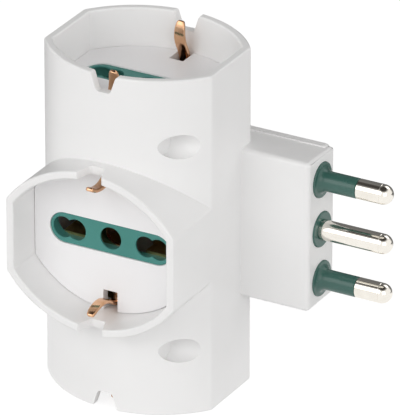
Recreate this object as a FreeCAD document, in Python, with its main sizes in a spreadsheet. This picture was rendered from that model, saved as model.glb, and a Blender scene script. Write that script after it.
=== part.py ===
import FreeCAD, Part
import math
import os
import Sketcher
from FreeCAD import Placement, Rotation, Vector

# Multi socket adapter, millimetres.
# Origin on the tube's axis at the lower rim. +Z runs up the tube, the front socket faces -Y
# and the plug block with its three pins points along +X.

os.makedirs("parts", exist_ok=True)
doc = FreeCAD.newDocument("multi_socket_adapter")

# Driving sizes

SIZES = [
    ("tube_height", "88.0", "rim to rim"),
    ("across_flats", "45.6", "tube and collar, over the two flats"),
    ("across_arcs", "42.4", "tube and collar, over the two arcs"),
    ("flat_length", "18.8", "length of each flat in the outline"),
    ("wall", "2.05", "housing wall"),
    ("corner_round", "1.6", "where a flat meets an arc, outside"),
    ("inner_round", "0.8", "where a flat meets an arc, inside"),
    ("rim_round", "0.5", "edge of the three rims"),
    ("collar_reach", "28.2", "tube axis to the front rim"),
    ("well_depth", "10.0", "rim to socket floor"),
    ("notch_mouth", "6.8", "rim notch, width at the rim"),
    ("notch_foot", "3.8", "rim notch, width at its foot"),
    ("notch_deep", "4.5", "rim notch, depth"),
    ("notch_round", "0.9", "rim notch, foot corners"),
    ("notch_corner", "0.8", "rim notch, corners at the rim"),
    ("hollow_dia", "6.3", "round blind hollow in the tube"),
    ("hollow_side", "14.9", "hollow axis beside the tube axis"),
    ("hollow_lift", "0.35", "wall round a hollow, clear of the floor plate"),
    ("hollow_floor", "12.9", "hollow floor beside the tube axis"),
    ("hollow_wall", "1.5", "wall behind a hollow"),
    ("ledge_width", "1.3", "ledge that carries a floor plate"),
    ("ledge_thick", "1.6", "thickness of that ledge"),
    ("plate_thick", "2.2", "floor plate"),
    ("fit_gap", "0.1", "clearance round a seated piece"),
    ("insert_end", "0.8", "insert beyond its outer pole hole"),
    ("insert_side", "1.15", "insert beside its centre hole"),
    ("insert_sunk", "0.3", "insert face below the floor"),
    ("insert_lap", "1.4", "insert flange beyond its two long sides"),
    ("flange_thick", "1.4", "insert flange"),
    ("earth_hole_dia", "5.7", "centre hole of an insert"),
    ("pole_hole_dia", "5.4", "outer holes of an insert"),
    ("narrow_pitch", "9.5", "centre hole to narrow pole hole"),
    ("wide_pitch", "13.0", "centre hole to wide pole hole"),
    ("clip_slot_width", "3.8", "square hole for an earth clip"),
    ("clip_slot_length", "5.35", "length of that hole from the wall"),
    ("clip_width", "2.3", "earth clip strip"),
    ("strip_thick", "0.8", "thickness of all strips"),
    ("clip_root_gap", "1.35", "clip leg from the wall"),
    ("clip_bulge_gap", "4.3", "inmost point of the clip from the wall"),
    ("clip_foot_rise", "0.4", "height of the lower bend over the floor"),
    ("clip_bulge_rise", "4.3", "height of that point over the floor"),
    ("clip_tip_gap", "3.1", "clip end from the wall"),
    ("clip_rise", "9.2", "clip end over the floor"),
    ("bend_round", "1.0", "inner radius of the bends at the clip root"),
    ("clip_curve", "3.0", "inner radius of the clip's bulge"),
    ("clip_end_round", "0.9", "corners of the clip end"),
    ("ring_dia", "10.0", "round middle of the earth strip"),
    ("ring_hole", "6.2", "pin hole in that middle"),
    ("grip_gap", "5.2", "space between contact blades"),
    ("contact_width", "7.0", "pole contact, width over both pitches"),
    ("earth_contact_width", "4.0", "earth contact blades"),
    ("bar_width", "4.0", "connecting bars and branches"),
    ("pin_room", "0.4", "space past the end of a pushed-in pin"),
    ("block_reach", "41.2", "tube axis to the plug face"),
    ("block_thick", "13.0", "plug block thickness"),
    ("block_height", "39.2", "plug block height"),
    ("block_round", "1.2", "plug block edges"),
    ("plug_inset", "3.7", "rear of the plug block in front of the tube's rear arc"),
    ("plug_wall", "2.0", "plug block wall"),
    ("lip_rise", "0.6", "rear lip above and below the plug block"),
    ("lip_thick", "2.0", "rear lip, thickness"),
    ("lip_setback", "2.2", "rear lip, short of the plug face"),
    ("lip_round", "1.5", "rear lip, end corners"),
    ("pin_dia", "5.0", "plug pins"),
    ("pin_length", "19.0", "plug pins beyond the plug face"),
    ("pin_pitch", "13.0", "pin to pin"),
    ("pin_core", "3.6", "pole pin inside its sleeve"),
    ("pin_shank", "4.4", "pin behind the plug face"),
    ("pin_relief", "0.3", "earth pin at its collar, length of the thinner part"),
    ("tail_setback", "10.0", "plug face to the strip behind the pins"),
    ("rivet_dia", "3.0", "riveted end of a pin"),
    ("rivet_proud", "0.5", "rivet end past the strip"),
    ("sleeve_length", "10.0", "green sleeve beyond the plug face"),
    ("collar_dia", "8.9", "green collar round a pin"),
    ("collar_proud", "0.4", "collar beyond the plug face"),
    ("collar_depth", "3.2", "collar behind the plug face"),
    ("flare_length", "1.2", "cone from collar to sleeve, length"),
    ("flare_rise", "0.8", "cone from collar to sleeve, height"),
    ("earth_plane", "6.0", "earth bar behind the tube axis"),
    ("carrier_thick", "1.6", "contact carrier wall"),
    ("pad_setback", "3.0", "carrier pads from the bar ends"),
    ("pad_height", "9.0", "carrier pads"),
    ("leg_setback", "13.75", "carrier legs from the bar ends"),
    ("leg_side", "8.0", "carrier legs beside the tube axis"),
    ("branch_room", "0.6", "branches from the plug block's wall and the carrier's edge"),
    ("crossing_room", "1.0", "neutral branch in front of the contacts"),
]

sheet = doc.addObject("Spreadsheet::Sheet", "Sizes")
for row, (alias, number, note) in enumerate(SIZES, start=1):
    sheet.set("A%d" % row, alias)
    sheet.set("B%d" % row, number)
    sheet.setAlias("B%d" % row, alias)
    sheet.set("C%d" % row, note)
doc.recompute()


class Size:
    """A number that keeps the sheet expression it comes from."""

    def __init__(self, number, text):
        self.number = float(number)
        self.text = text

    def __add__(self, other):
        other = as_size(other)
        return Size(self.number + other.number, "(%s + %s)" % (self.text, other.text))

    def __sub__(self, other):
        other = as_size(other)
        return Size(self.number - other.number, "(%s - %s)" % (self.text, other.text))

    def __mul__(self, other):
        other = as_size(other)
        return Size(self.number * other.number, "(%s * %s)" % (self.text, other.text))

    def __truediv__(self, other):
        other = as_size(other)
        return Size(self.number / other.number, "(%s / %s)" % (self.text, other.text))

    def __neg__(self):
        return Size(-self.number, "(0 - %s)" % self.text)

    def __radd__(self, other):
        return as_size(other) + self

    def __rsub__(self, other):
        return as_size(other) - self

    def __rmul__(self, other):
        return as_size(other) * self


def as_size(thing):
    return thing if isinstance(thing, Size) else Size(thing, "%.6f" % thing)


def cell(alias):
    return Size(sheet.get(alias), "Sizes." + alias)


class Cells:
    pass


s = Cells()
for alias, number, note in SIZES:
    setattr(s, alias, cell(alias))


def bind(feature, **sizes):
    for name, size in sizes.items():
        feature.setExpression(name.replace("__", "."), as_size(size).text)
    return feature


def feature(kind, name):
    return doc.addObject(kind, name)


PLANES = {
    "XY": (Rotation(), Vector(0, 0, 1), "z"),
    "XZ": (Rotation(Vector(1, 0, 0), 90), Vector(0, 1, 0), "y"),
    "YZ": (Rotation(Vector(1, 1, 1), 120), Vector(1, 0, 0), "x"),
}


def box(name, xs, ys, zs):
    solid = feature("Part::Box", name)
    bind(solid, Length=as_size(xs[1]) - xs[0], Width=as_size(ys[1]) - ys[0], Height=as_size(zs[1]) - zs[0],
         Placement__Base__x=xs[0], Placement__Base__y=ys[0], Placement__Base__z=zs[0])
    return solid


def rod(name, axis, radius, at, span):
    """A cylinder along X, Y or Z; at gives its place on the two other axes."""
    solid = feature("Part::Cylinder", name)
    turn = {"x": Rotation(Vector(0, 1, 0), 90), "y": Rotation(Vector(1, 0, 0), -90), "z": Rotation()}[axis]
    solid.Placement = Placement(Vector(), turn)
    others = [letter for letter in "xyz" if letter != axis]
    bind(solid, Radius=radius, Height=as_size(span[1]) - span[0])
    bind(solid, **{"Placement__Base__" + axis: span[0],
                   "Placement__Base__" + others[0]: at[0],
                   "Placement__Base__" + others[1]: at[1]})
    return solid


def join(name, *parts):
    whole = feature("Part::MultiFuse", name)
    whole.Shapes = list(parts)
    return whole


def cut(name, base, *tools):
    rest = feature("Part::Cut", name)
    rest.Base = base
    rest.Tool = tools[0] if len(tools) == 1 else join(name + "_tools", *tools)
    return rest


def common(name, *parts):
    shared = feature("Part::MultiCommon", name)
    shared.Shapes = list(parts)
    return shared


def sketch_on(name, plane, level):
    """A sketch parallel to a base plane, at a bound level on that plane's normal axis."""
    turn, normal, letter = PLANES[plane]
    sketch = feature("Sketcher::SketchObject", name)
    sketch.Placement = Placement(Vector(), turn)
    bind(sketch, **{"Placement__Base__" + letter: level})
    return sketch


def fix_point(sketch, edge, end, point):
    for kind, size in (("DistanceX", point[0]), ("DistanceY", point[1])):
        size = as_size(size)
        index = sketch.addConstraint(Sketcher.Constraint(kind, -1, 1, edge, end, size.number))
        sketch.setExpression("Constraints[%d]" % index, size.text)


def polygon(name, plane, level, points, closed=True):
    sketch = sketch_on(name, plane, level)
    flat = [Vector(as_size(u).number, as_size(v).number, 0) for u, v in points]
    ends = flat[1:] + flat[:1] if closed else flat[1:]
    for start, end in zip(flat, ends):
        sketch.addGeometry(Part.LineSegment(start, end))
    edges = len(ends)
    for edge in range(edges if closed else edges - 1):
        sketch.addConstraint(Sketcher.Constraint("Coincident", edge, 2, (edge + 1) % edges, 1))
    for edge in range(edges):
        fix_point(sketch, edge, 1, points[edge])
    if not closed:
        fix_point(sketch, edges - 1, 2, points[-1])
    return sketch


def extrude(name, sketch, plane, span):
    solid = feature("Part::Extrusion", name)
    solid.Base = sketch
    solid.DirMode = "Custom"
    solid.Dir = PLANES[plane][1]
    solid.Solid = True
    bind(solid, LengthFwd=as_size(span[1]) - span[0])
    return solid


def prism(name, plane, points, span):
    return extrude(name, polygon(name + "_sketch", plane, span[0], points), plane, span)


def constrain(sketch, size, *constraint):
    size = as_size(size)
    index = sketch.addConstraint(Sketcher.Constraint(*constraint, size.number))
    sketch.setExpression("Constraints[%d]" % index, size.text)


# The outline shared by the tube, the front collar and the floor plates

half_flat = s.across_flats / 2
half_arcs = s.across_arcs / 2
half_side = s.flat_length / 2
arc_rise = half_arcs - half_side
arc_radius = (half_flat * half_flat + arc_rise * arc_rise) / (2 * arc_rise)
arc_shift = arc_radius - half_arcs


def outline(name, plane, inset, rounding, span, centre=0):
    """Two flats and two shallow arcs with rounded corners, pushed in by inset and extruded."""
    sketch = sketch_on(name + "_sketch", plane, span[0])
    if as_size(centre).number:
        bind(sketch, Placement__Base__z=centre)
    side = half_flat - inset
    big = arc_radius - inset
    small = as_size(rounding)
    rise = math.sqrt((big.number - small.number) ** 2 - (side.number - small.number) ** 2)
    mid_x = side.number - small.number
    mid_y = rise - arc_shift.number
    lean = math.atan2(rise, mid_x)

    def arc(x, y, radius, start, end):
        circle = Part.Circle(Vector(x, y, 0), Vector(0, 0, 1), radius)
        return sketch.addGeometry(Part.ArcOfCircle(circle, start, end))

    def line(x, start, end):
        return sketch.addGeometry(Part.LineSegment(Vector(x, start, 0), Vector(x, end, 0)))

    right = line(side.number, -mid_y, mid_y)
    corners = [arc(mid_x, mid_y, small.number, 0, lean)]
    back = arc(0, -arc_shift.number, big.number, lean, math.pi - lean)
    corners.append(arc(-mid_x, mid_y, small.number, math.pi - lean, math.pi))
    left = line(-side.number, mid_y, -mid_y)
    corners.append(arc(-mid_x, -mid_y, small.number, math.pi, math.pi + lean))
    front = arc(0, arc_shift.number, big.number, math.pi + lean, 2 * math.pi - lean)
    corners.append(arc(mid_x, -mid_y, small.number, 2 * math.pi - lean, 2 * math.pi))
    for edge in range(8):
        sketch.addConstraint(Sketcher.Constraint("Tangent", edge, 2, (edge + 1) % 8, 1))
    for flat in (right, left):
        sketch.addConstraint(Sketcher.Constraint("Vertical", flat))
    constrain(sketch, side, "DistanceX", -1, 1, right, 1)
    constrain(sketch, side, "DistanceX", left, 1, -1, 1)
    for edge in (back, front):
        sketch.addConstraint(Sketcher.Constraint("PointOnObject", edge, 3, -2))
        constrain(sketch, big, "Radius", edge)
    constrain(sketch, arc_shift, "DistanceY", back, 3, -1, 1)
    constrain(sketch, arc_shift, "DistanceY", -1, 1, front, 3)
    for corner in corners:
        constrain(sketch, small, "Radius", corner)
    return extrude(name, sketch, plane, span)


def pill(name, length, width, span):
    """A flat piece with half-round ends, along X in a socket's own frame."""
    reach = (as_size(length) - width) / 2
    return join(name,
                box(name + "_middle", (-reach, reach), (-as_size(width) / 2, as_size(width) / 2), span),
                rod(name + "_right", "z", as_size(width) / 2, (reach, 0), span),
                rod(name + "_left", "z", as_size(width) / 2, (-reach, 0), span))


def rounded(name, base, picks):
    """Fillet the edges that picks names: a list of (test, radius)."""
    doc.recompute()
    edges = []
    for index, edge in enumerate(base.Shape.Edges, start=1):
        for test, radius in picks:
            if test(edge):
                edges.append((index, radius, radius))
                break
    smooth = feature("Part::Fillet", name)
    smooth.Base = base
    smooth.Edges = edges
    return smooth


def bent_strip(name, plane, path, span, bends=(), end_round=None):
    """Sheet metal: a path given along one face, thickened to its right and extruded.
    With inner bend radii, each corner of the path is rounded on both faces."""
    if plane == "XZ":
        path = path[::-1]
    wire = polygon(name + "_path", plane, span[0], path, closed=False)
    sheet_edge = feature("Part::Offset2D", name + "_edge")
    sheet_edge.Source = wire
    sheet_edge.Mode = "Skin"
    sheet_edge.Join = "Intersection"
    sheet_edge.Fill = True
    bind(sheet_edge, Value=s.strip_thick)
    strip = extrude(name if not bends else name + "_sharp", sheet_edge, plane, span)
    if not bends:
        return strip
    doc.recompute()
    turn, normal, letter = PLANES[plane]
    spots = [turn.multVec(Vector(as_size(u).number, as_size(v).number, 0)) for u, v in path]
    edges = []
    for index, edge in enumerate(strip.Shape.Edges, start=1):
        start, end = (vertex.Point for vertex in edge.Vertexes[:2])
        run = end - start
        foot = start - normal * start.dot(normal)
        gaps = [(foot - spot).Length for spot in spots]
        near = gaps.index(min(gaps))
        at_end = near in (0, len(spots) - 1)
        if abs(abs(run.dot(normal)) - run.Length) > 1e-6:
            if end_round and at_end and abs(run.Length - s.strip_thick.number) < 1e-6:
                edges.append((index, end_round.number, end_round.number))
            continue
        if at_end:
            continue
        before = spots[near] - spots[near - 1]
        after = spots[near + 1] - spots[near]
        left_turn = before.cross(after).dot(normal) > 0
        on_path = gaps[near] < 1e-4
        inside = on_path == left_turn
        radius = bends[near - 1].number
        if not inside:
            radius += s.strip_thick.number
        edges.append((index, radius, radius))
    smooth = feature("Part::Fillet", name)
    smooth.Base = strip
    smooth.Edges = edges
    return smooth


nodes = []


def node(label, solid):
    solid.Label = label
    nodes.append(solid)
    return solid


# Levels and places used by several pieces

middle = s.tube_height / 2
plug_bottom = middle - s.block_height / 2
plug_top = middle + s.block_height / 2
plug_rear = half_arcs - s.plug_inset
plug_front = plug_rear - s.block_thick
plug_back = plug_rear - s.block_thick / 2
plate_back = s.plate_thick
flange_back = s.plate_thick + s.flange_thick
inner_arcs = half_arcs - s.wall
inner_flats = half_flat - s.wall
insert_length = 2 * s.wide_pitch + s.pole_hole_dia + 2 * s.insert_end
insert_width = s.earth_hole_dia + 2 * s.insert_side
clip_slot_start = inner_arcs - s.clip_slot_length
clip_root = inner_arcs - s.clip_root_gap
clip_bulge = inner_arcs - s.clip_bulge_gap
clip_tip = inner_arcs - s.clip_tip_gap
pin_tail = s.block_reach - s.tail_setback
shoulder = pin_tail + s.strip_thick
front_floor = s.collar_reach - s.well_depth
sleeve_end = front_floor - s.plate_thick - s.ledge_thick
past = 5.0

# Housing: tube and front collar

tube = outline("tube_outside", "XY", 0, s.corner_round, (0, s.tube_height))
collar = outline("collar_outside", "XZ", 0, s.corner_round, (-s.collar_reach, -half_side + 1.0), middle)

# Housing: plug block, a rounded box on the rear half of the tube, with a lip along its rear edges

block = box("block_sharp", (0, s.block_reach), (plug_front, plug_rear), (plug_bottom, plug_top))


def on_block(edge):
    return edge.BoundBox.XMax > s.block_reach.number - 1e-6


block = rounded("block", block, [(on_block, s.block_round.number)])
lip_end = s.block_reach - s.lip_setback
lip = box("lip_sharp", (0, lip_end), (plug_rear - s.lip_thick, plug_rear),
          (plug_bottom - s.lip_rise, plug_top + s.lip_rise))


def on_lip_end(edge):
    bounds = edge.BoundBox
    return bounds.XMin > lip_end.number - 1e-6 and bounds.ZMax - bounds.ZMin < 1e-6


lip = rounded("lip", lip, [(on_lip_end, s.lip_round.number)])

# Housing: walls behind the blind hollows

hollow_walls = []
hollow_cuts = []
hollow_level = s.well_depth + plate_back + s.hollow_lift + s.hollow_wall + s.hollow_dia / 2
for mark, level in (("lower", hollow_level), ("upper", s.tube_height - hollow_level)):
    place = (-s.hollow_side, level)
    hollow_walls.append(rod("hollow_wall_" + mark, "x", s.hollow_dia / 2 + s.hollow_wall, place,
                            (s.hollow_floor - s.hollow_wall, half_flat)))
    hollow_cuts.append(rod("hollow_" + mark, "x", s.hollow_dia / 2, place,
                           (s.hollow_floor, half_flat + past)))
hollow_bosses = common("hollow_bosses", tube, join("hollow_walls", *hollow_walls))

# Housing: ledges under the floor plates, open where the clip legs and the insert pass

tube_inside = outline("tube_inside", "XY", s.wall, s.inner_round, (-past, s.tube_height + past))
ledges = []
for name, low in (("lower", s.well_depth + plate_back),
                  ("upper", s.tube_height - s.well_depth - plate_back - s.ledge_thick)):
    ring = outline(name + "_ledge_outside", "XY", s.wall / 2, s.inner_round, (low, low + s.ledge_thick))
    hole = outline(name + "_ledge_inside", "XY", s.wall + s.ledge_width, s.inner_round,
                   (low - 1, low + s.ledge_thick + 1))
    gap = box(name + "_ledge_gap", (-s.clip_slot_width / 2, s.clip_slot_width / 2),
              (-inner_arcs, inner_arcs), (low - 1, low + s.ledge_thick + 1))
    end_gap = box(name + "_ledge_end_gap", (-inner_flats, inner_flats),
                  (-insert_width / 2 - s.fit_gap, insert_width / 2 + s.fit_gap),
                  (low - 1, low + s.ledge_thick + 1))
    ledges.append(cut(name + "_ledge", ring, hole, gap, end_gap))

sleeve = outline("collar_sleeve", "XZ", 0, s.corner_round, (-half_arcs + s.wall / 2, -sleeve_end), middle)
collar_inside = outline("collar_inside", "XZ", s.wall, s.inner_round,
                        (-s.collar_reach - past, -front_floor + plate_back), middle)
front_opening = outline("front_opening", "XZ", s.wall + s.ledge_width, s.inner_round,
                        (-front_floor, -sleeve_end + past), middle)
front_gap = box("front_ledge_gap", (-s.clip_slot_width / 2, s.clip_slot_width / 2),
                (-front_floor, -sleeve_end + 1), (middle - inner_arcs, middle + inner_arcs))
front_end_gap = box("front_ledge_end_gap", (-inner_flats, inner_flats), (-front_floor, -sleeve_end + 1),
                    (middle - insert_width / 2 - s.fit_gap, middle + insert_width / 2 + s.fit_gap))

# Housing: plug cavity and the holes for the pin collars

plug_cavity = box("plug_cavity", (0, s.block_reach - s.plug_wall),
                  (plug_front + s.plug_wall, plug_rear - s.plug_wall),
                  (plug_bottom + s.plug_wall, plug_top - s.plug_wall))
collar_holes = [rod("collar_hole_%d" % step, "x", s.collar_dia / 2 + s.fit_gap / 2,
                    (plug_back, middle + step * s.pin_pitch),
                    (s.block_reach - s.plug_wall - 1, s.block_reach + past))
                for step in (-1, 0, 1)]

shell = join("shell_outside", tube, collar, block, lip)
shell = cut("shell_tube", shell, tube_inside)
shell = join("shell_ribs", shell, sleeve, hollow_bosses, *ledges)
shell = cut("shell_open", shell, collar_inside, front_opening, front_gap, front_end_gap, plug_cavity,
            *(collar_holes + hollow_cuts))

# Housing: rounded rims, then the notches beside the earth clips

doc.recompute()


def flat_at(edge, axis, level):
    bounds = edge.BoundBox
    low, high = {"y": (bounds.YMin, bounds.YMax), "z": (bounds.ZMin, bounds.ZMax)}[axis]
    return abs(low - level) < 1e-5 and abs(high - level) < 1e-5


def on_rim(edge):
    return (flat_at(edge, "z", 0) or flat_at(edge, "z", s.tube_height.number)
            or flat_at(edge, "y", -s.collar_reach.number))


shell = rounded("shell_rims", shell, [(on_rim, s.rim_round.number)])


def notch(name, plane, rim, inward, span):
    """A tapered cut from the rim, its corners rounded at the foot and at the rim."""
    mouth = s.notch_mouth / 2
    foot = s.notch_foot / 2
    deep = rim + inward * s.notch_deep
    over = rim - inward * 2.0
    wide = mouth + s.notch_corner
    sharp = prism(name + "_sharp", plane, [
        (-wide, over), (-wide, rim), (-mouth, rim), (-foot, deep),
        (foot, deep), (mouth, rim), (wide, rim), (wide, over)], span)
    letter = {"XY": "y", "XZ": "z"}[plane]

    def corner(x, level):
        def is_there(edge):
            ends = [vertex.Point for vertex in edge.Vertexes]
            return (len(ends) == 2 and all(abs(abs(end.x) - x.number) < 1e-5 for end in ends)
                    and all(abs(getattr(end, letter) - level.number) < 1e-5 for end in ends))
        return is_there

    return rounded(name, sharp, [(corner(foot, deep), s.notch_round.number),
                                 (corner(mouth, rim), s.notch_corner.number)])


notches = [
    notch("upper_notch", "XZ", s.tube_height, -1, (-half_arcs - past, half_arcs + past)),
    notch("lower_notch", "XZ", as_size(0), 1, (-half_arcs - past, half_arcs + past)),
    notch("front_notch", "XY", -s.collar_reach, 1, (middle - half_arcs - past, middle + half_arcs + past)),
]
node("housing", cut("housing", shell, *notches))

# The three sockets. Each is drawn in its own frame, floor at z = 0 and open side at +z,
# and set in place by the last feature of each piece.

SOCKETS = [
    ("upper", Rotation(), {"z": s.tube_height - s.well_depth}),
    ("front", Rotation(Vector(1, 0, 0), 90), {"y": -front_floor, "z": middle}),
    ("lower", Rotation(Vector(1, 0, 0), 180), {"z": s.well_depth}),
]
CONTACT_PLACES = (("line", 1), ("neutral", -1))

pole_x = (s.narrow_pitch + s.wide_pitch) / 2
blade_face = s.grip_gap / 2
bar_plane = blade_face + s.strip_thick
pin_depth = s.pin_length + s.pin_room + s.strip_thick


def set_in(solid, turn, base):
    solid.Placement = Placement(Vector(), turn)
    bind(solid, **{"Placement__Base__" + letter: size for letter, size in base.items()})
    return solid


for socket, turn, base in SOCKETS:
    # floor plate
    disc = outline(socket + "_disc", "XY", s.wall + s.fit_gap, s.inner_round, (-plate_back, 0))
    window = pill(socket + "_window", insert_length, insert_width, (-plate_back - 1, 1))
    clip_holes = [box("%s_clip_hole_%s" % (socket, mark), (-s.clip_slot_width / 2, s.clip_slot_width / 2),
                      ends, (-plate_back - 1, 1))
                  for mark, ends in (("a", (clip_slot_start, half_arcs)),
                                     ("b", (-half_arcs, -clip_slot_start)))]
    plate = cut(socket + "_plate", disc, window, *clip_holes)
    node(socket + "_socket_plate", set_in(plate, turn, base))

    # pin-hole insert with its flange behind the plate
    core = pill(socket + "_core", insert_length - 2 * s.fit_gap, insert_width - 2 * s.fit_gap,
                (-flange_back, -s.insert_sunk))
    straight = (insert_length - insert_width) / 2
    lip = insert_width / 2 + s.insert_lap
    flange = box(socket + "_flange", (-straight, straight), (-lip, lip), (-flange_back, -plate_back))
    holes = [rod(socket + "_earth_hole", "z", s.earth_hole_dia / 2, (0, 0), (-flange_back - 1, 1))]
    for side in (-1, 1):
        for mark, pitch in (("n", s.narrow_pitch), ("w", s.wide_pitch)):
            holes.append(rod("%s_pole_hole_%s%d" % (socket, mark, side), "z", s.pole_hole_dia / 2,
                             (side * pitch, 0), (-flange_back - 1, 1)))
    insert = cut(socket + "_insert", join(socket + "_insert_body", core, flange), *holes)
    node(socket + "_hole_insert", set_in(insert, turn, base))

    # earth bracket: clips, ring and centre contact from one strip
    half_clip = s.clip_width / 2
    right_side = [(clip_root, -flange_back), (clip_root, s.clip_foot_rise),
                  (clip_bulge, s.clip_bulge_rise), (clip_tip, s.clip_rise)]
    left_side = [(-as_size(u), v) for u, v in reversed(right_side)]
    side_bends = [s.clip_curve, s.bend_round, s.bend_round]
    spring = bent_strip(socket + "_clips", "YZ", left_side + right_side, (-half_clip, half_clip),
                        side_bends + side_bends[::-1], s.clip_end_round)
    ring = rod(socket + "_ring", "z", s.ring_dia / 2, (0, 0), (-flange_back - s.strip_thick, -flange_back))
    depth = s.earth_plane + front_floor if socket == "front" else pin_depth
    grip = s.ring_hole / 2
    blades = bent_strip(socket + "_earth_blades", "XZ",
                        [(-grip, -flange_back), (-grip, -depth + s.strip_thick),
                         (grip, -depth + s.strip_thick), (grip, -flange_back)],
                        (-s.earth_contact_width / 2, s.earth_contact_width / 2))
    pin_hole = rod(socket + "_ring_hole", "z", grip, (0, 0), (-flange_back - s.strip_thick - 1, 1))
    bracket = cut(socket + "_bracket", join(socket + "_bracket_body", spring, ring, blades), pin_hole)
    node(socket + "_earth_bracket", set_in(bracket, turn, base))

    # forked pole contacts
    depth = bar_plane + front_floor if socket == "front" else pin_depth
    for pole, side in CONTACT_PLACES:
        span = (side * pole_x - s.contact_width / 2, side * pole_x + s.contact_width / 2)
        fork = bent_strip("%s_%s_fork" % (socket, pole), "YZ",
                          [(-blade_face, -flange_back), (-blade_face, -depth + s.strip_thick),
                           (blade_face, -depth + s.strip_thick), (blade_face, -flange_back)], span)
        node("%s_%s_contact" % (socket, pole), set_in(fork, turn, base))

# Bars that join the three contacts of a pole, each with a branch and a tab behind its pin

tab_half = s.bar_width / 2
bar_low = s.well_depth + flange_back + s.strip_thick
bar_high = s.tube_height - bar_low
tab_reach = s.pin_dia / 2

line_level = middle + s.pin_pitch
neutral_level = middle - s.pin_pitch
tab_end = plug_back + tab_reach
branch_plane = plug_front + s.plug_wall + s.branch_room
turn_x = pole_x + s.contact_width / 2
step_near = turn_x + s.branch_room
step_x = step_near + s.strip_thick


def tab_hole(name, level):
    return rod(name + "_tab_hole", "x", s.rivet_dia / 2 + s.fit_gap / 2, (plug_back, level),
               (pin_tail - 1, pin_tail + s.strip_thick + 1))


def bar(name, x, plane, path, level):
    strip = box(name + "_upright", (x - tab_half, x + tab_half), (plane, plane + s.strip_thick),
                (bar_low, bar_high))
    branch = bent_strip(name + "_branch", "XY", path, (level - tab_half, level + tab_half))
    node(name + "_bar", cut(name + "_bar", join(name + "_body", strip, branch), tab_hole(name, level)))


bar("line", pole_x, bar_plane,
    [(shoulder, tab_end), (shoulder, branch_plane), (step_x, branch_plane), (step_x, bar_plane),
     (pole_x, bar_plane)], line_level)
crossing = -bar_plane - s.crossing_room
bar("neutral", -pole_x, bar_plane,
    [(-pole_x, bar_plane), (-turn_x, bar_plane), (-turn_x, crossing), (step_near, crossing),
     (step_near, branch_plane + s.strip_thick), (pin_tail, branch_plane + s.strip_thick),
     (pin_tail, tab_end)], neutral_level)
earth_back = s.earth_plane + s.strip_thick
bar("earth", as_size(0), s.earth_plane,
    [(shoulder, tab_end), (shoulder, branch_plane), (step_x + s.strip_thick, branch_plane),
     (step_x, s.earth_plane), (0, s.earth_plane)], middle)

# Contact carrier: a back wall with pads behind the bars and two legs to the tube's back wall

carrier_back = earth_back + s.carrier_thick
plate = box("carrier_wall", (-turn_x, turn_x), (earth_back, carrier_back),
            (bar_low + 1.0, bar_high - 1.0))
pads = []
for side in (-1, 1):
    for rise in (-1, 1):
        near = bar_low + s.pad_setback
        ends = (near, near + s.pad_height)
        if rise > 0:
            ends = tuple(s.tube_height - end for end in reversed(ends))
        pads.append(box("carrier_pad_%d_%d" % (side, rise),
                        (side * pole_x - tab_half / 2, side * pole_x + tab_half / 2),
                        (bar_plane + s.strip_thick, earth_back), ends))
legs = [box("carrier_leg_%d" % side,
            (side * s.leg_side - s.carrier_thick / 2, side * s.leg_side + s.carrier_thick / 2),
            (carrier_back - 0.2, half_arcs), (bar_low + s.leg_setback, bar_high - s.leg_setback))
        for side in (-1, 1)]
room = outline("carrier_room", "XY", s.wall + s.fit_gap, s.inner_round, (0, s.tube_height))
node("contact_carrier", common("carrier", join("carrier_body", plate, *(pads + legs)), room))

# Pins, sleeves and collars: turned pieces, drawn in half section and revolved about X


def turned(label, profile, level):
    body = feature("PartDesign::Body", label)
    sketch = body.newObject("Sketcher::SketchObject", label + "_section")
    plane = [item for item in body.Origin.OriginFeatures if item.Role == "XZ_Plane"][0]
    sketch.AttachmentSupport = [(plane, "")]
    sketch.MapMode = "FlatFace"
    flat = [Vector(as_size(u).number, as_size(v).number, 0) for u, v, _ in profile]
    count = len(profile)
    for index, (_, _, dome) in enumerate(profile):
        start, end = flat[index], flat[(index + 1) % count]
        if dome:
            centre = Vector(start.x, end.y, 0)
            circle = Part.Circle(centre, Vector(0, 0, 1), start.y)
            sketch.addGeometry(Part.ArcOfCircle(circle, 0, math.pi / 2))
        else:
            sketch.addGeometry(Part.LineSegment(start, end))
    for index, (u, v, dome) in enumerate(profile):
        following = (index + 1) % count
        last = 1 if dome else 2
        first = 2 if profile[following][2] else 1
        sketch.addConstraint(Sketcher.Constraint("Coincident", index, last, following, first))
        fix_point(sketch, index, 2 if dome else 1, (u, v))
        if dome:
            constrain(sketch, v, "Radius", index)
    solid = body.newObject("PartDesign::Revolution", label + "_turned")
    solid.Profile = sketch
    solid.ReferenceAxis = (sketch, ["H_Axis"])
    solid.Angle = 360
    bind(body, Placement__Base__y=plug_back, Placement__Base__z=level)
    return node(label, body)


pin_end = s.block_reach + s.pin_length
radius = s.pin_dia / 2
rivet = s.rivet_dia / 2
core = s.pin_core / 2
shank = s.pin_shank / 2
sleeve_end_x = s.block_reach + s.sleeve_length
collar_front = s.block_reach + s.collar_proud

for name, level in (("line", line_level), ("neutral", neutral_level)):
    turned(name + "_pin", [
        (pin_tail - s.rivet_proud, 0, False),
        (pin_tail - s.rivet_proud, rivet, False),
        (shoulder, rivet, False),
        (shoulder, shank, False),
        (s.block_reach - s.collar_depth, shank, False),
        (s.block_reach - s.collar_depth, core, False),
        (sleeve_end_x, core, False),
        (sleeve_end_x, radius, False),
        (pin_end - radius, radius, True),
        (pin_end, 0, False),
    ], level)
    turned(name + "_pin_sleeve", [
        (s.block_reach - s.collar_depth, core, False),
        (s.block_reach - s.collar_depth, s.collar_dia / 2, False),
        (collar_front, s.collar_dia / 2, False),
        (collar_front, radius + s.flare_rise, False),
        (collar_front + s.flare_length, radius, False),
        (sleeve_end_x, radius, False),
        (sleeve_end_x, core, False),
    ], level)

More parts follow.
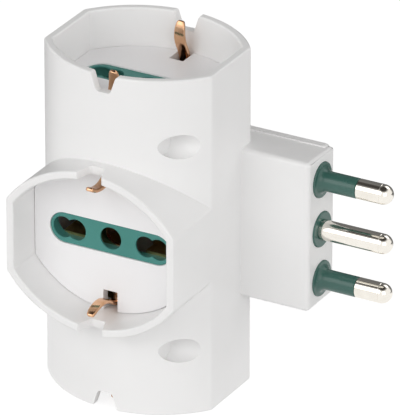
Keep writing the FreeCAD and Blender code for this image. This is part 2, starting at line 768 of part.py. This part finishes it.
turned("earth_pin", [
    (pin_tail - s.rivet_proud, 0, False),
    (pin_tail - s.rivet_proud, rivet, False),
    (shoulder, rivet, False),
    (shoulder, shank, False),
    (collar_front + s.pin_relief, shank, False),
    (collar_front + s.pin_relief, radius, False),
    (pin_end - radius, radius, True),
    (pin_end, 0, False),
], middle)
turned("earth_pin_collar", [
    (s.block_reach - s.collar_depth, shank, False),
    (s.block_reach - s.collar_depth, s.collar_dia / 2, False),
    (collar_front, s.collar_dia / 2, False),
    (collar_front, shank, False),
], middle)

# Check and export

doc.recompute()
for item in doc.Objects:
    if "Invalid" in item.State or "Error" in item.State:
        raise RuntimeError("%s did not build: %s" % (item.Label, item.State))
for solid in nodes:
    shape = solid.Shape
    if shape.isNull() or not shape.isValid() or not shape.Solids:
        raise RuntimeError("%s has no valid solid" % solid.Label)
for solid in nodes:
    solid.Shape.exportStep("parts/%s.step" % solid.Label)
    print("%-24s %9.1f mm3, %d solids" % (solid.Label, solid.Shape.Volume, len(solid.Shape.Solids)))
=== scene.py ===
import bpy
import bmesh
import math
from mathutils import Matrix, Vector


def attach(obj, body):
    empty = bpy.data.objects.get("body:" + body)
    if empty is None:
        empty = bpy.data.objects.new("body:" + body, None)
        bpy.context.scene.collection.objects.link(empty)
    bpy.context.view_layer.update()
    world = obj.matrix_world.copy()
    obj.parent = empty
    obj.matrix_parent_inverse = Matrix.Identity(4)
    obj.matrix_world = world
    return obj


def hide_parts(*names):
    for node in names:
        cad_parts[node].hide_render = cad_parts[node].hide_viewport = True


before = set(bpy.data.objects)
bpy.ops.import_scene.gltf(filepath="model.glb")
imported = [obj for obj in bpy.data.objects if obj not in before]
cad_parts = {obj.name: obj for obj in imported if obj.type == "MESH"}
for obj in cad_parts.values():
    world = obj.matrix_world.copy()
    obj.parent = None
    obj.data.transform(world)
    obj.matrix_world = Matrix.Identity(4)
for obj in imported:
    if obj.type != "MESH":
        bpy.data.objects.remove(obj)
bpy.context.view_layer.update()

# Contact forks, joining bars and their carrier: brass strips, stamped and bent, that lie on a
# plain grey moulding. The floors and the housing close them in, so only their finish is set here.

sockets = ("upper", "front", "lower")


def noise_pattern(tree, place, scale, detail):
    """A noise pattern laid out from a place on the piece."""
    noise = tree.nodes.new("ShaderNodeTexNoise")
    noise.inputs["Scale"].default_value = scale
    noise.inputs["Detail"].default_value = detail
    tree.links.new(place, noise.inputs["Vector"])
    return noise.outputs["Fac"]


def mottled_finish(name, tones, tone_limits, clouds, skin, grain, roughness, relief):
    """A finish whose colour drifts between two tones in clouds, and whose roughness and relief
    follow a finer skin. Clouds and skin are a scale and a detail each, and roughness is its
    lowest and highest. A small number in grain draws the skin out along that axis."""
    relief_height = 0.0001
    finish = bpy.data.materials.new(name)
    finish.use_nodes = True
    tree = finish.node_tree
    links = tree.links
    shader = tree.nodes["Principled BSDF"]
    where = tree.nodes.new("ShaderNodeTexCoord")
    stretch = tree.nodes.new("ShaderNodeMapping")
    stretch.inputs["Scale"].default_value = grain
    links.new(where.outputs["Object"], stretch.inputs["Vector"])
    cloud_field = noise_pattern(tree, where.outputs["Object"], *clouds)
    skin_field = noise_pattern(tree, stretch.outputs["Vector"], *skin)
    tint = tree.nodes.new("ShaderNodeValToRGB")
    for stop, limit, tone in zip(tint.color_ramp.elements, tone_limits, tones):
        stop.position = limit
        stop.color = (*tone, 1)
    links.new(cloud_field, tint.inputs["Fac"])
    links.new(tint.outputs["Color"], shader.inputs["Base Color"])
    dulling = tree.nodes.new("ShaderNodeMapRange")
    dulling.inputs["To Min"].default_value, dulling.inputs["To Max"].default_value = roughness
    links.new(skin_field, dulling.inputs["Value"])
    links.new(dulling.outputs["Result"], shader.inputs["Roughness"])
    bump = tree.nodes.new("ShaderNodeBump")
    bump.inputs["Strength"].default_value = relief
    bump.inputs["Distance"].default_value = relief_height
    links.new(skin_field, bump.inputs["Height"])
    links.new(bump.outputs["Normal"], shader.inputs["Normal"])
    return finish


def strip_metal(name, colour, dark, roughness, grain):
    """Rolled metal: grain lines, dull spots and a little tarnish."""
    metal = mottled_finish(name, tones=(dark, colour), tone_limits=(0.3, 0.62),
                           clouds=(260.0, 2.0), skin=(700.0, 3.0), grain=grain,
                           roughness=(roughness - 0.06, roughness + 0.08), relief=0.08)
    metal.node_tree.nodes["Principled BSDF"].inputs["Metallic"].default_value = 1.0
    return metal


def moulded_plastic(name, colour, shade, roughness, skin_scale, relief):
    """Moulded plastic: faint clouds in the colour and a fine skin on the surface."""
    plastic = mottled_finish(name, tones=(shade, colour), tone_limits=(0.35, 0.65),
                             clouds=(55.0, 3.0), skin=(skin_scale, 2.0), grain=(1, 1, 1),
                             roughness=(roughness - 0.04, roughness + 0.05), relief=relief)
    plastic.node_tree.nodes["Principled BSDF"].inputs["IOR"].default_value = 1.5
    return plastic


def finish_with(part, material):
    """Give a piece its finish in the object's own slots, which leaves its mesh as it is."""
    for place in part.material_slots:
        place.link = "OBJECT"
        place.material = material


brass = strip_metal("stamped_brass", colour=(0.66, 0.51, 0.24), dark=(0.52, 0.38, 0.17),
                    roughness=0.32, grain=(1, 1, 0.2))
for socket in sockets:
    for contact in ("line_contact", "neutral_contact"):
        finish_with(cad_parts[socket + "_" + contact], brass)
for bar in ("line_bar", "neutral_bar", "earth_bar"):
    finish_with(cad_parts[bar], brass)
carrier_grey = moulded_plastic("carrier_plastic", colour=(0.62, 0.62, 0.6),
                               shade=(0.57, 0.57, 0.55), roughness=0.5, skin_scale=900, relief=0.2)
finish_with(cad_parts["contact_carrier"], carrier_grey)

# Earth brackets: one copper-alloy strip for each socket, stamped with rounded edges and bent.
# Its ends rise through the square holes in the floor as the side earth clips. Under the floor
# the strip keeps the shape of its solid.

crisp_turn = math.radians(32)
clip_thickness, clip_edge = 0.001, 0.0004


def take_up(piece, *others):
    """Select these pieces alone. The tools act on the first."""
    bpy.ops.object.select_all(action="DESELECT")
    for each in (piece, *others):
        each.select_set(True)
    bpy.context.view_layer.objects.active = piece


def rounded_copy(name, node, finish, edge_width):
    """A copy of a CAD piece, its loose triangles joined and its sharp edges rounded off."""
    same_corner, same_plane = 0.000002, math.radians(0.3)
    piece = bpy.data.objects.new(name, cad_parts[node].data.copy())
    bpy.context.scene.collection.objects.link(piece)
    take_up(piece)
    bpy.ops.object.mode_set(mode="EDIT")
    bpy.ops.mesh.select_all(action="SELECT")
    bpy.ops.mesh.remove_doubles(threshold=same_corner)
    bpy.ops.mesh.dissolve_limited(angle_limit=same_plane)
    bpy.ops.object.mode_set(mode="OBJECT")
    if piece.data.has_custom_normals:
        bpy.ops.mesh.customdata_custom_splitnormals_clear()
    edge = piece.modifiers.new("edge", "BEVEL")
    edge.width = edge_width
    edge.segments = 2
    edge.limit_method = "ANGLE"
    edge.angle_limit = crisp_turn
    edge.miter_outer = "MITER_ARC"
    bpy.ops.object.modifier_apply(modifier="edge")
    bpy.ops.object.shade_smooth_by_angle(angle=crisp_turn)
    piece.data.materials.clear()
    piece.data.materials.append(finish)
    finish_with(piece, finish)
    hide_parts(node)
    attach(piece, "root")
    return piece


def into_socket(piece, socket, far_wall=False):
    """Set a piece into its well, or turned round to the wall on the far side. It was drawn in
    the socket's own place, with the floor at z = 0 and the mouth upwards."""
    floor_middle = {"upper": (0, 0, 0.078), "front": (0, -0.0182, 0.0445), "lower": (0, 0, 0.01)}
    turn = {"upper": (0, 0, 0), "front": (math.pi / 2, 0, 0), "lower": (math.pi, 0, 0)}
    if far_wall:
        turn = {"upper": (0, 0, math.pi), "front": (math.pi / 2, math.pi, 0),
                "lower": (math.pi, 0, math.pi)}
    take_up(piece)
    piece.rotation_euler = turn[socket]
    piece.location = floor_middle[socket]
    bpy.ops.object.transform_apply(location=True, rotation=True, scale=True)


def spring_clip(name, stations):
    """One earth clip: a strip end drawn up through the floor, bent in and out, and tapered.
    A station is its distance from the socket's axis, its height over the floor and its width."""
    bpy.ops.object.select_all(action="DESELECT")
    out, up, width = stations[0]
    bpy.ops.mesh.primitive_plane_add(size=1, location=(0, out, up))
    clip = bpy.context.object
    clip.name = name
    clip.scale = (width, clip_thickness, 1)
    bpy.ops.object.transform_apply(location=True, rotation=True, scale=True)
    bpy.ops.object.mode_set(mode="EDIT")
    bpy.ops.mesh.select_all(action="SELECT")
    leaning = 0.0
    for before, here, after in zip(stations, stations[1:], stations[2:] + stations[-1:]):
        bpy.ops.mesh.extrude_region_move(
            TRANSFORM_OT_translate={"value": (0, here[0] - before[0], here[1] - before[1])})
        lean = math.atan2(before[0] - after[0], after[1] - before[1])
        place = (0, here[0], here[1])
        bpy.ops.transform.rotate(value=leaning - lean, orient_axis="X", center_override=place)
        bpy.ops.transform.resize(value=(here[2] / before[2], 1, 1), center_override=place)
        leaning = lean
    bpy.ops.mesh.select_all(action="SELECT")
    bpy.ops.mesh.normals_make_consistent(inside=False)
    bpy.ops.object.mode_set(mode="OBJECT")
    edge = clip.modifiers.new("edge", "BEVEL")
    edge.width = clip_edge
    edge.segments = 4
    edge.limit_method = "ANGLE"
    edge.angle_limit = math.radians(50)
    bpy.ops.object.modifier_apply(modifier="edge")
    bpy.ops.object.shade_smooth_by_angle(angle=math.radians(60))
    return clip


copper = strip_metal("copper_strip", colour=(0.80, 0.50, 0.31), dark=(0.60, 0.33, 0.18),
                     roughness=0.16, grain=(1, 1, 0.15))
end_clip = spring_clip("end_clip", [
    (0.0182, -0.0030, 0.0026), (0.0182, -0.0018, 0.0028), (0.0180, -0.0006, 0.0029),
    (0.0176, 0.0005, 0.0029), (0.0171, 0.0015, 0.0029), (0.0165, 0.0026, 0.0029),
    (0.0160, 0.0037, 0.0029), (0.0157, 0.0048, 0.0029), (0.0156, 0.0058, 0.0028),
    (0.01565, 0.0068, 0.0027), (0.01585, 0.0077, 0.0025), (0.0161, 0.0084, 0.0022),
    (0.0163, 0.0089, 0.0018), (0.0164, 0.0092, 0.0012)])
front_clip = spring_clip("front_clip", [
    (0.0182, -0.0030, 0.0026), (0.01805, -0.0018, 0.0026), (0.0176, -0.0007, 0.0026),
    (0.0170, 0.0003, 0.0026), (0.0163, 0.0014, 0.0026), (0.0157, 0.0026, 0.0026),
    (0.0153, 0.0039, 0.0026), (0.0152, 0.0052, 0.00255), (0.01535, 0.0065, 0.0025),
    (0.0156, 0.0077, 0.0024), (0.01605, 0.0087, 0.0023), (0.0165, 0.0094, 0.0020),
    (0.0168, 0.00975, 0.0015)])
under_floor = {"upper": ((0, 0, 0.0751), (0, 0, 1)), "front": ((0, -0.0153, 0.044), (0, -1, 0)),
               "lower": ((0, 0, 0.0129), (0, 0, -1))}
for socket in sockets:
    bracket = rounded_copy(socket + "_earth_clips", socket + "_earth_bracket", copper,
                           edge_width=0.0002)
    cut_point, outwards = under_floor[socket]
    bpy.ops.object.mode_set(mode="EDIT")
    bpy.ops.mesh.select_all(action="SELECT")
    bpy.ops.mesh.bisect(plane_co=cut_point, plane_no=outwards, use_fill=True, clear_outer=True)
    bpy.ops.object.mode_set(mode="OBJECT")
    drawn_clip = front_clip if socket == "front" else end_clip
    ends = []
    for far_wall in (False, True):
        end = drawn_clip.copy()
        end.data = drawn_clip.data.copy()
        bpy.context.scene.collection.objects.link(end)
        into_socket(end, socket, far_wall)
        ends.append(end)
    take_up(bracket, *ends)
    bpy.ops.object.join()
    finish_with(bracket, copper)
for drawn_clip in (end_clip, front_clip):
    bpy.data.objects.remove(drawn_clip)

# Hole inserts: pill-shaped mouldings of green plastic with the pin holes, clipped into the
# floors from behind. The holes' mouths are slightly rounded, and behind its face a piece is hollow.


def select_corners(piece, chosen):
    """In edit mode, select the corners of a piece for whose place chosen says yes."""
    shape = bmesh.from_edit_mesh(piece.data)
    for corner in shape.verts:
        corner.select_set(chosen(corner.co))
    shape.select_flush_mode()
    bmesh.update_edit_mesh(piece.data)


def fair_shading(piece):
    """Let the large faces of a finished piece set its shading, so small edges can't pull at it."""
    take_up(piece)
    bpy.ops.object.shade_smooth_by_angle(angle=crisp_turn)
    fair = piece.modifiers.new("fair", "WEIGHTED_NORMAL")
    fair.mode = "FACE_AREA"
    fair.weight = 80
    fair.keep_sharp = True
    bpy.ops.object.modifier_apply(modifier="fair")


insert_green = moulded_plastic("green_insert_plastic", colour=(0.074, 0.272, 0.242),
                               shade=(0.064, 0.247, 0.217), roughness=0.42, skin_scale=700,
                               relief=0.15)
insert_green.node_tree.nodes["Principled BSDF"].inputs["Specular IOR Level"].default_value = 0.25
hollow_radius, hollow_depth, hollow_middle, hollow_reach = 0.0038, 0.0034, -0.00245, 0.0125
just_off_middle = 0.00001
for socket in sockets:
    insert = rounded_copy(socket + "_pin_hole_insert", socket + "_hole_insert", insert_green,
                          edge_width=0.00015)
    bpy.ops.object.select_all(action="DESELECT")
    bpy.ops.mesh.primitive_cylinder_add(vertices=48, radius=hollow_radius, depth=hollow_depth,
                                        location=(0, 0, hollow_middle))
    hollow = bpy.context.object
    bpy.ops.object.transform_apply(location=True, rotation=True, scale=True)
    bpy.ops.object.mode_set(mode="EDIT")
    for side in (-1, 1):
        select_corners(hollow, lambda at: at.x * side > just_off_middle)
        bpy.ops.transform.translate(value=(hollow_reach * side, 0, 0))
    bpy.ops.object.mode_set(mode="OBJECT")
    into_socket(hollow, socket)
    carve = insert.modifiers.new("hollow", "BOOLEAN")
    carve.object = hollow
    carve.operation = "DIFFERENCE"
    take_up(insert)
    bpy.ops.object.modifier_apply(modifier="hollow")
    bpy.data.objects.remove(hollow)
    fair_shading(insert)

# Socket floors: flat plates moulded in white plastic, each set on a ledge in its well. A plate
# has a square hole for each earth clip and a long one for the insert.

floor_white = moulded_plastic("white_floor_plastic", colour=(0.925, 0.918, 0.926),
                              shade=(0.91, 0.903, 0.911), roughness=0.36, skin_scale=800,
                              relief=0.12)
for socket in sockets:
    floor = rounded_copy(socket + "_socket_floor", socket + "_socket_plate", floor_white,
                         edge_width=0.00012)
    fair_shading(floor)

# Plug pins: brass turned on a lathe, plated with bright nickel, and riveted to the joining bars.
# Each has a domed end set off by a fine turned line. The outer two are thinner under their sleeve.

pin_row = 0.011
pin_heights = {"line_pin": 0.057, "earth_pin": 0.044, "neutral_pin": 0.031}
pin_radius = 0.0025
dome_foot = 0.0577
round_turn = math.radians(33)


def turned_piece(name, height, stations, finish):
    """A round piece turned about X: a disc drawn out from one station (x, radius) to the next."""
    start, start_radius = stations[0]
    bpy.ops.object.select_all(action="DESELECT")
    bpy.ops.mesh.primitive_circle_add(vertices=64, radius=start_radius, fill_type="NGON",
                                      rotation=(0, math.pi / 2, 0),
                                      location=(start, pin_row, height))
    piece = bpy.context.object
    piece.name = name
    bpy.ops.object.transform_apply(location=True, rotation=True, scale=True)
    bpy.ops.object.mode_set(mode="EDIT")
    bpy.ops.mesh.select_all(action="SELECT")
    for before, here in zip(stations, stations[1:]):
        bpy.ops.mesh.extrude_region_move(
            TRANSFORM_OT_translate={"value": (here[0] - before[0], 0, 0)})
        size = here[1] / before[1]
        bpy.ops.transform.resize(value=(1, size, size), center_override=(here[0], pin_row, height))
    bpy.ops.mesh.select_all(action="SELECT")
    bpy.ops.mesh.normals_make_consistent(inside=False)
    bpy.ops.object.mode_set(mode="OBJECT")
    bpy.ops.object.shade_smooth_by_angle(angle=round_turn)
    piece.data.materials.append(finish)
    finish_with(piece, finish)
    return piece


nickel = strip_metal("nickel_plate", colour=(0.88, 0.845, 0.78), dark=(0.83, 0.79, 0.72),
                     roughness=0.1, grain=(0.2, 1, 1))
turned_line = [(0.0573, 0.0025), (0.05742, 0.00242), (0.0576, 0.00242), (0.0577, 0.00249)]
dome = [(dome_foot + pin_radius * math.sin(turn), pin_radius * math.cos(turn))
        for turn in map(math.radians, (4, 12, 22, 32, 42, 52, 62, 72, 81, 87))]
for part, height in pin_heights.items():
    tail = min(corner.co.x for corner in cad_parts[part].data.vertices)
    rivet = [(tail, 0.0014), (tail + 0.0001, 0.0015), (tail + 0.0013, 0.0015),
             (tail + 0.00131, 0.0022)]
    if part == "earth_pin":
        body = [(0.0419, 0.0022), (0.04192, 0.0025)]
    else:
        body = [(0.038, 0.0022), (0.03802, 0.0018), (0.0512, 0.0018), (0.05122, 0.00235),
                (0.0514, 0.0025)]
    pin = turned_piece("plated_" + part, height, rivet + body + turned_line + dome, nickel)
    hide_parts(part)
    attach(pin, "root")

# Green sleeves and collars, moulded in plastic and set in the holes of the plug face: the outer
# pins wear both, the middle one only the collar. A collar runs into its sleeve in a hollow curve.

sleeve_green = moulded_plastic("green_sleeve_plastic", colour=(0.045, 0.130, 0.107),
                               shade=(0.039, 0.115, 0.095), roughness=0.25, skin_scale=700,
                               relief=0.12)
collar = [(0.038, 0.0019), (0.03801, 0.0043), (0.0381, 0.00445), (0.0414, 0.00445),
          (0.04152, 0.0044), (0.04159, 0.0043)]
flare = [(0.0416, 0.0036), (0.0417, 0.00335), (0.0419, 0.0031), (0.0422, 0.00285),
         (0.0426, 0.00265), (0.0432, 0.00253), (0.0440, 0.0025), (0.0508, 0.0025),
         (0.05105, 0.00247), (0.05118, 0.0024), (0.0512, 0.0019)]
flat_face = [(0.0416, 0.0026)]
for part, pin, stations in (("line_pin_sleeve", "line_pin", collar + flare),
                            ("neutral_pin_sleeve", "neutral_pin", collar + flare),
                            ("earth_pin_collar", "earth_pin", collar + flat_face)):
    sleeve = turned_piece("green_" + part, pin_heights[pin], stations, sleeve_green)
    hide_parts(part)
    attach(sleeve, "root")

# Housing: one moulding of glossy white plastic, with the fine skin of a polished tool. All its
# edges are slightly rounded, as they leave the mould. The plug block's top and bottom faces
# fall a little to the rear, where a low lip runs along each.

block_middle, block_half_height = 0.044, 0.0196
beside_tube, past_plug_face, slope_start, over_lip = 0.010, 0.050, 0.0040, 0.002
above_face, below_rounding = 0.00006, -0.0007
lip_reach, lip_share, lip_middle = 0.0009, 0.5, 0.0165
slope, slope_hinge = 0.042, 0.0045


def select_block_edge(housing, end, start, stop, front, lowest):
    """Select the corners at the plug block's top (end 1) or bottom (end -1) face: those from start
    to stop along the pins, behind front, and higher over the face than lowest."""
    face = block_middle + end * block_half_height
    select_corners(housing, lambda at: start < at.x < stop and at.y > front
                   and lowest < (at.z - face) * end < over_lip)


white = moulded_plastic("white_plastic", colour=(0.885, 0.882, 0.880), shade=(0.87, 0.867, 0.865),
                        roughness=0.34, skin_scale=800, relief=0.12)
shell = rounded_copy("white_housing", "housing", white, edge_width=0.0002)
bpy.ops.object.mode_set(mode="EDIT")
for end in (1, -1):
    face = block_middle + end * block_half_height
    select_block_edge(shell, end, start=0.0370, stop=0.0393, front=0.0148, lowest=-0.0001)
    bpy.ops.transform.translate(value=(lip_reach, 0, 0))
    select_block_edge(shell, end, beside_tube, past_plug_face, slope_start, above_face)
    bpy.ops.transform.resize(value=(1, 1, lip_share), center_override=(0.03, lip_middle, face))
    select_block_edge(shell, end, beside_tube, past_plug_face, slope_start, below_rounding)
    bpy.ops.transform.rotate(value=end * slope, orient_axis="X",
                             center_override=(0.03, slope_hinge, face))
bpy.ops.object.mode_set(mode="OBJECT")
fair_shading(shell)

# Table top and studio: a plain pale floor, two soft lamps on the camera's side and a weaker one
# behind, in an even light room that darkens overhead and to the rear, which draws the dark lines
# on the metal. The camera stands where the photograph was taken from.

rearwards = (-0.42, 0.907, 0)
floor_glow = 0.86
grey_floor = 0.28


def level_to_rear(tree, place, start, stop, near, far):
    """A level that goes smoothly from near to far between two distances to the rear."""
    reach = tree.nodes.new("ShaderNodeVectorMath")
    reach.operation = "DOT_PRODUCT"
    reach.inputs[1].default_value = rearwards
    tree.links.new(place, reach.inputs[0])
    level = tree.nodes.new("ShaderNodeMapRange")
    level.interpolation_type = "SMOOTHSTEP"
    level.inputs["From Min"].default_value = start
    level.inputs["From Max"].default_value = stop
    level.inputs["To Min"].default_value = near
    level.inputs["To Max"].default_value = far
    tree.links.new(reach.outputs["Value"], level.inputs["Value"])
    return level.outputs["Result"]


def larger_of(tree, first, second):
    """The larger of two values."""
    larger = tree.nodes.new("ShaderNodeMath")
    larger.operation = "MAXIMUM"
    tree.links.new(first, larger.inputs[0])
    tree.links.new(second, larger.inputs[1])
    return larger.outputs["Value"]


def one_or_other(tree, choice, usual, special):
    """The usual shader, or the special one where choice is 1."""
    mix = tree.nodes.new("ShaderNodeMixShader")
    tree.links.new(choice, mix.inputs["Fac"])
    tree.links.new(usual, mix.inputs[1])
    tree.links.new(special, mix.inputs[2])
    return mix.outputs["Shader"]


bpy.ops.object.select_all(action="DESELECT")
bpy.ops.mesh.primitive_plane_add(size=6.0, location=(0, 0, 0))
table = bpy.context.object
table.name = "table_top"
pale = bpy.data.materials.new("table_white")
pale.use_nodes = True
tree = pale.node_tree
matt = tree.nodes["Principled BSDF"]
matt.inputs["Base Color"].default_value = (0.8, 0.8, 0.8, 1)
matt.inputs["Roughness"].default_value = 0.9
matt.inputs["Specular IOR Level"].default_value = 0.0
seen = tree.nodes.new("ShaderNodeBsdfDiffuse")
seen.inputs["Color"].default_value = (grey_floor, grey_floor, grey_floor, 1)
glow = tree.nodes.new("ShaderNodeEmission")
both = tree.nodes.new("ShaderNodeAddShader")
tree.links.new(seen.outputs["BSDF"], both.inputs[0])
tree.links.new(glow.outputs["Emission"], both.inputs[1])
path = tree.nodes.new("ShaderNodeLightPath")
spot = tree.nodes.new("ShaderNodeTexCoord")
mirrored_glow = level_to_rear(tree, spot.outputs["Object"], start=0.04, stop=0.12,
                              near=floor_glow, far=0.0)
seen_glow = tree.nodes.new("ShaderNodeMath")
seen_glow.operation = "MULTIPLY"
seen_glow.inputs[1].default_value = floor_glow
tree.links.new(path.outputs["Is Camera Ray"], seen_glow.inputs[0])
tree.links.new(larger_of(tree, seen_glow.outputs["Value"], mirrored_glow), glow.inputs["Strength"])
in_view = larger_of(tree, path.outputs["Is Camera Ray"], path.outputs["Is Glossy Ray"])
tree.links.new(one_or_other(tree, in_view, matt.outputs["BSDF"], both.outputs["Shader"]),
               tree.nodes["Material Output"].inputs["Surface"])
table.data.materials.append(pale)

world = bpy.data.worlds.new("studio")
bpy.context.scene.world = world
world.use_nodes = True
tree = world.node_tree
room = tree.nodes["Background"]
room.inputs["Strength"].default_value = 1.0
way = tree.nodes.new("ShaderNodeTexCoord")
rise = tree.nodes.new("ShaderNodeSeparateXYZ")
tree.links.new(way.outputs["Generated"], rise.inputs["Vector"])
walls = tree.nodes.new("ShaderNodeValToRGB")
walls.color_ramp.interpolation = "EASE"
for stop, limit, tone in zip(walls.color_ramp.elements, (0.64, 0.9),
                             ((1.04, 1.035, 1.03), (0.05, 0.046, 0.042))):
    stop.position = limit
    stop.color = (*tone, 1)
tree.links.new(rise.outputs["Z"], walls.inputs["Fac"])
dim = tree.nodes.new("ShaderNodeVectorMath")
dim.operation = "SCALE"
tree.links.new(walls.outputs["Color"], dim.inputs[0])
tree.links.new(level_to_rear(tree, way.outputs["Generated"], start=0.35, stop=0.75,
                             near=1.0, far=0.16), dim.inputs["Scale"])
tree.links.new(dim.outputs["Vector"], room.inputs["Color"])
backdrop = tree.nodes.new("ShaderNodeBackground")
backdrop.inputs["Color"].default_value = (1, 1, 1, 1)
backdrop.inputs["Strength"].default_value = 1.02
path = tree.nodes.new("ShaderNodeLightPath")
in_view = larger_of(tree, path.outputs["Is Camera Ray"], path.outputs["Is Transmission Ray"])
tree.links.new(one_or_other(tree, in_view, room.outputs["Background"],
                            backdrop.outputs["Background"]),
               tree.nodes["World Output"].inputs["Surface"])

middle = Vector((0, 0, 0.044))
lamp_distance = 1.27
for name, direction, size, power in (("left_softbox", (-0.40, -1.0, 0.68), 0.8, 2.7),
                                     ("right_softbox", (0.90, -0.85, 0.55), 0.8, 1.9),
                                     ("rear_fill", (0.25, 0.85, 0.85), 0.7, 1.8)):
    lamp_data = bpy.data.lights.new(name, "AREA")
    lamp_data.shape = "SQUARE"
    lamp_data.size = size
    lamp_data.energy = power
    lamp = bpy.data.objects.new(name, lamp_data)
    bpy.context.scene.collection.objects.link(lamp)
    aim = Vector(direction).normalized()
    lamp.location = middle + aim * lamp_distance
    lamp.rotation_euler = aim.to_track_quat("Z", "Y").to_euler()

camera_turn, camera_lift, camera_distance = math.radians(29.656), math.radians(25.861), 1.7083
looks_at = Vector((0.010823, 0.006162, 0.0439))
towards_camera = Vector((math.sin(camera_turn) * math.cos(camera_lift),
                         -math.cos(camera_turn) * math.cos(camera_lift), math.sin(camera_lift)))
camera_data = bpy.data.cameras.new("camera")
camera_data.lens = 612.6
camera_data.sensor_width = 36.0
camera_data.clip_start = 0.1
camera_data.clip_end = 20.0
camera = bpy.data.objects.new("camera", camera_data)
bpy.context.scene.collection.objects.link(camera)
camera.location = middle + towards_camera * camera_distance
camera.rotation_euler = (camera.location - looks_at).to_track_quat("Z", "Y").to_euler()
bpy.context.scene.camera = camera
bpy.context.scene.view_settings.view_transform = "Standard"
